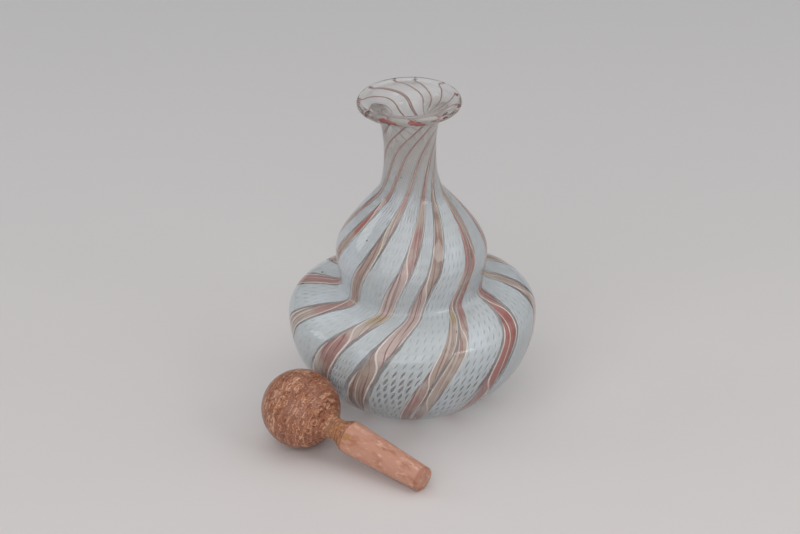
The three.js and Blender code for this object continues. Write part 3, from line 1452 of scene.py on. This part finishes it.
@dataclass
class Flask:
    """The flask: its clear shell with everything that is sealed in it.

    The bore is given by the heights between which the neck is ground inside.
    """

    effects: SharedEffects
    sides: int = 144
    profile_steps: int = 3
    corner: float = 28
    inside_box: float = 0.01 * MM
    station: float = 0.7 * MM
    bore: tuple[float, float] = (67.6 * MM, 87 * MM)
    lip_height: float = 4 * MM
    openness: tuple[float, ...] = (0.4, 0.8, 0.1, 0.15, 0.72, 1.0, 0.72, 0.1, 0.4, 1.0, 0.3)
    lattice_phase: float = 1.7
    lattice_seed: int = 1
    ribbon_phase: float = 0.9
    ribbon_seed: int = 40
    ribbon_fleck: float = 0.72

    def __post_init__(self) -> None:
        """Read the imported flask's profile and lay out its canes."""
        raw = turned_profile(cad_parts["flask"], Vector((0, 0, 0)), Vector((0, 0, 1)))
        self.profile = smoothed(raw, self.profile_steps, self.corner)
        low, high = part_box("flask")
        self.profile[:, 0] = np.clip(self.profile[:, 0], 0, high.x - self.inside_box)
        self.profile[:, 1] = np.clip(self.profile[:, 1], low.z, high.z)
        self.layout = CaneLayout(WallTrack(self.profile, self.station))

    def build(self) -> list[bpy.types.Object]:
        """Make all of the flask's pieces."""
        canes = [*self._lattices(), *self._ribbons()]
        return [self._shell(), *canes, self._own(self._rim_knots()), self._own(self._grains())]

    def _own(self, obj: bpy.types.Object) -> bpy.types.Object:
        """Let a piece ride with the flask and take its record slot.

        Args:
            obj: The piece.

        Returns:
            The same piece.
        """
        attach(obj, "root")
        return obj

    def _shell(self) -> bpy.types.Object:
        """Make the clear shell, ground inside the bore and misted inside below it.

        Returns:
            The piece.
        """
        mesh = MeshMaker("flask_glass")
        rings = turned(self.profile, self.sides)
        top = int(self.profile[:, 1].argmax())
        height = self.profile[top:, 1]
        bore_end, bore_start = (top + int((height < level).argmax()) for level in self.bore)
        mesh.grid(rings[: bore_start + 1], 0)
        mesh.grid(rings[bore_start : bore_end + 1], 2)
        mesh.grid(rings[bore_end:], 1)
        shell = mesh.made([ClearGlass().made(), ClearGlass.misted().made(), ClearGlass.ground().made()])
        shell.visible_shadow = False
        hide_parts("flask")
        return self._own(shell)

    def _lattices(self) -> list[bpy.types.Object]:
        """Make the lattice canes, one between each two ribbons.

        Returns:
            One piece for each cane.
        """
        milk = SealedGlass(
            "milk_glass",
            main=linear(197, 202, 205),
            drift=linear(204, 210, 216),
            fleck=linear(188, 194, 197),
            passes=0.94,
            drawn=linear(202, 198, 195),
            drawn_reach=38 * MM,
        ).made(self.effects)
        bearings = self.layout.ribbon_bearings
        made = []
        for i, (here, onward) in enumerate(zip(bearings, (*bearings[1:], bearings[0] + 360))):
            cane = LatticeCane(
                f"lattice_cane_{i + 1:02d}",
                math.radians((here + onward) / 2),
                math.radians(onward - here),
                openness=self.openness[i],
                phase=i * self.lattice_phase,
                seed=i + self.lattice_seed,
            )
            made.append(self._own(cane.build(self.layout, milk)))
        return made

    def _ribbons(self) -> list[bpy.types.Object]:
        """Make the ribbon canes.

        Returns:
            One piece for each cane.
        """
        white = SealedGlass(
            "white_edge_glass",
            main=linear(232, 222, 216),
            drift=linear(228, 212, 206),
            fleck=linear(214, 202, 196),
            passes=0.9,
        ).made(self.effects)
        streak = SealedGlass(
            "streak_glass",
            main=linear(146, 106, 102),
            drift=linear(176, 150, 142),
            fleck=linear(132, 104, 98),
            passes=0.8,
        ).made(self.effects)
        maroon = linear(176, 140, 136)
        rose = linear(198, 178, 174)
        brown = linear(180, 162, 153)
        tan = linear(192, 180, 172)
        gold = linear(182, 168, 128)
        dark = linear(144, 122, 112)
        red = linear(174, 116, 110)
        plans = (
            RibbonPlan(rose, brown, tan),
            RibbonPlan(maroon, tan, brown, gold),
            RibbonPlan(red, maroon, brown),
            RibbonPlan(brown, tan, maroon),
            RibbonPlan(rose, maroon, tan, gold, 1.1),
            RibbonPlan(rose, brown, dark),
            RibbonPlan(brown, maroon, tan, gold, 1.35, RibbonKind.DOUBLE),
            RibbonPlan(red, maroon, red),
            RibbonPlan(rose, tan, brown, gold),
            RibbonPlan(maroon, brown, tan),
            RibbonPlan(rose, tan, maroon),
        )
        made = []
        for i, plan in enumerate(plans):
            label = f"ribbon_cane_{i + 1:02d}"
            cane = RibbonCane(
                label,
                math.radians(self.layout.ribbon_bearings[i]),
                plan.kind,
                self._faces(label, plan),
                width=plan.width,
                phase=i * self.ribbon_phase,
                seed=i + self.ribbon_seed,
            )
            made.append(self._own(cane.build(self.layout, self.effects, white, streak)))
        return made

    def _faces(self, label: str, plan: RibbonPlan) -> tuple[SealedGlass, SealedGlass]:
        """Give the glass of a ribbon's two faces.

        Args:
            label: Name of the ribbon.
            plan: Its colours.

        Returns:
            Glass of the front and of the back. Only the front has the accent.
        """
        smoke = linear(166, 142, 140)
        front, back = (
            SealedGlass(
                f"{label}_{side}",
                main,
                plan.drift,
                tuple(c * self.ribbon_fleck for c in main),
                passes=0.7,
                accent=accent,
                drawn=smoke,
            )
            for side, main, accent in (("front", plan.front, plan.accent), ("back", plan.back, None))
        )
        return front, back

    def _grains(self) -> bpy.types.Object:
        """Make the dark grains caught in the glass."""
        soot = SealedGlass(
            "grain_glass",
            main=linear(58, 54, 56),
            drift=linear(70, 62, 62),
            fleck=linear(44, 42, 44),
            passes=0,
        )
        return Grains().build(self.layout, soot.made(self.effects))

    def _rim_knots(self) -> bpy.types.Object:
        """Make the blobs in which the ribbons end at the rim.

        Returns:
            The piece that holds them all.
        """
        red = SealedGlass("rim_red", linear(150, 92, 90), linear(128, 84, 80), linear(104, 70, 66))
        dark = SealedGlass("rim_dark", linear(112, 94, 90), linear(132, 104, 100), linear(88, 72, 68))
        pale = SealedGlass("rim_pale", linear(196, 172, 168), linear(176, 140, 136), linear(160, 128, 122))
        top = self.profile[self.profile[:, 1].argmax()]
        lip = self.profile[self.profile[:, 1] > top[1] - self.lip_height]
        widest = lip[lip[:, 0].argmax()]
        materials = [finish.made(self.effects) for finish in (red, dark, pale)]
        return RimKnots().build(self.layout, (top[0], widest[1]), widest[0] - top[0], materials)


@dataclass
class Stopper:
    """The stopper where it lies: a speckled ball, a thin stem and a ground plug."""

    effects: SharedEffects
    sides: int = 112
    profile_steps: int = 4
    corner: float = 30
    ground_from: float = 19.2 * MM

    def __post_init__(self) -> None:
        """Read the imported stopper's place and profile."""
        self.low, self.high = (np.array(corner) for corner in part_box("stopper"))
        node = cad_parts["stopper"]
        points = np.array([v.co for v in node.data.vertices], float)
        spots = np.unique(points.round(7), axis=0)
        middle = spots.mean(axis=0)
        spread = np.linalg.svd(spots - middle, full_matrices=False)[2][0]
        axis = Vector(spread * math.copysign(1, spread[0])).normalized()
        profile = turned_profile(node, Vector(middle), axis)
        ball_at = profile[0, 1] + profile[:, 0].max()
        self.centre = Vector(middle) + axis * ball_at
        self.profile = profile - np.array([0, ball_at])
        self.turn = axis.to_track_quat("Z", "Y").to_matrix()

    def build(self) -> list[bpy.types.Object]:
        """Make the stopper.

        Returns:
            Its one piece of glass.
        """
        profile = smoothed(self.profile, self.profile_steps, self.corner, ends_flat=True)
        profile[:, 0] = np.maximum(profile[:, 0], 0)
        rings = turned(profile, self.sides)
        spun = rings.reshape(-1, 3) @ np.array(self.turn).T + np.array(self.centre)
        rings = np.clip(spun, self.low, self.high).reshape(rings.shape)
        split = int((profile[:, 1] > self.ground_from).argmax())
        mesh = MeshMaker("stopper_glass")
        mesh.grid(rings[: split + 1], 0)
        mesh.grid(rings[split:], 1)
        tip = self.profile[:, 1].max()
        speckled = SpeckledGlass().made(self.effects, self.turn, self.centre)
        ground = GroundGlass().made(self.effects, self.turn, self.centre, tip)
        obj = mesh.made([speckled, ground])
        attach(obj, "root")
        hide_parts("stopper")
        return [obj]


@dataclass(frozen=True)
class Softbox:
    """Square studio light that looks at the flask.

    Its azimuth is 0 from the viewer's side and grows to the right.
    """

    name: str
    azimuth: float
    elevation: float
    distance: float
    size: tuple[float, float]
    power: float
    colour: Colour = (1.0, 1.0, 1.0)
    aim: tuple[float, float, float] = (0.0, 0.0, 0.04)

    def build(self) -> None:
        """Make the light."""
        lamp = bpy.data.lights.new(self.name, "AREA")
        lamp.shape = "RECTANGLE"
        lamp.size, lamp.size_y = self.size
        lamp.energy = self.power
        lamp.color = self.colour
        obj = bpy.data.objects.new(self.name, lamp)
        azimuth, elevation = math.radians(self.azimuth), math.radians(self.elevation)
        away = Vector(
            (
                math.sin(azimuth) * math.cos(elevation),
                -math.cos(azimuth) * math.cos(elevation),
                math.sin(elevation),
            )
        )
        obj.location = Vector(self.aim) + away * self.distance
        obj.rotation_mode = "QUATERNION"
        obj.rotation_quaternion = away.to_track_quat("Z", "Y")
        bpy.context.scene.collection.objects.link(obj)


@dataclass
class Studio:
    """Pale table, soft lights, dim surroundings and the camera."""

    table_size: float = 6.0
    table_drop: float = 0.02 * MM
    sky: float = 0.22
    sky_colour: Colour = (1.0, 0.99, 0.985)
    camera_height: float = 28.3833
    camera_distance: float = 1.050
    camera_turn: float = 0.98227
    lens: float = 153.246
    film_width: float = 36
    nearest: float = 10 * MM
    sight: tuple[float, float, float] = (-0.003617, 0.0, 0.042372)
    lights: tuple[Softbox, ...] = (
        Softbox("overhead", -165, 76, 1.6, (2.6, 2.2), 11.0, (1.0, 0.985, 0.97)),
        Softbox("left_window", -100, 26, 1.1, (0.3, 0.4), 0.9, (0.97, 0.99, 1.0)),
        Softbox("right_window", 50, 33, 0.9, (0.26, 0.2), 0.7),
        Softbox("front_fill", -20, 33, 1.8, (2.0, 1.4), 11.0, (1.0, 0.99, 0.98)),
        Softbox("right_fill", 95, 40, 1.7, (1.4, 1.4), 4.0, (1.0, 0.99, 0.98)),
        Softbox("low_fill", -10, 9, 1.6, (2.2, 0.5), 2.4),
    )

    def build(self, effects: SharedEffects) -> None:
        """Make the whole setting.

        Args:
            effects: Node groups that finishes share.
        """
        self._table(effects)
        for light in self.lights:
            light.build()
        self._surroundings()
        self._camera()

    def _table(self, effects: SharedEffects) -> None:
        """Make the pale table top that the object stands on.

        Args:
            effects: Node groups that finishes share.
        """
        half = self.table_size / 2
        mesh = bpy.data.meshes.new("table_top")
        corners = [(-half, -half, 0), (half, -half, 0), (half, half, 0), (-half, half, 0)]
        mesh.from_pydata(corners, [], [(0, 1, 2, 3)])
        mesh.materials.append(TableTop().made(effects))
        obj = bpy.data.objects.new("table_top", mesh)
        obj.location.z = -self.table_drop
        bpy.context.scene.collection.objects.link(obj)

    def _surroundings(self) -> None:
        """Give the room an even dim light."""
        world = bpy.data.worlds.new("studio_room")
        world.use_nodes = True
        back = world.node_tree.nodes["Background"]
        back.inputs["Color"].default_value = (*self.sky_colour, 1)
        back.inputs["Strength"].default_value = self.sky
        bpy.context.scene.world = world
        bpy.context.scene.view_settings.view_transform = "Standard"

    def _camera(self) -> None:
        """Set the camera at the photograph's angle."""
        height = math.radians(self.camera_height)
        turn = math.radians(self.camera_turn)
        forward = Vector((0, math.cos(height), -math.sin(height)))
        right = Vector((1, 0, 0))
        up = right.cross(forward)
        tilted_right = right * math.cos(turn) - up * math.sin(turn)
        tilted_up = right * math.sin(turn) + up * math.cos(turn)
        camera = bpy.data.cameras.new("camera")
        camera.lens = self.lens
        camera.sensor_width = self.film_width
        camera.clip_start = self.nearest
        obj = bpy.data.objects.new("camera", camera)
        rows = [
            (tilted_right[i], tilted_up[i], -forward[i], self.sight[i] - forward[i] * self.camera_distance)
            for i in range(3)
        ]
        obj.matrix_world = Matrix((*rows, (0, 0, 0, 1)))
        bpy.context.scene.collection.objects.link(obj)
        bpy.context.scene.camera = obj


def main() -> None:
    """Build the flask, the stopper and the setting."""
    logging.basicConfig(level=logging.INFO, format="%(name)s %(message)s")
    effects = SharedEffects()
    for assembly in (Flask(effects), Stopper(effects)):
        for piece in assembly.build():
            LOG.info("%s: %d faces", piece.name, len(piece.data.polygons))
    Studio().build(effects)
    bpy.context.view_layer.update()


if __name__ == "__main__":
    main()
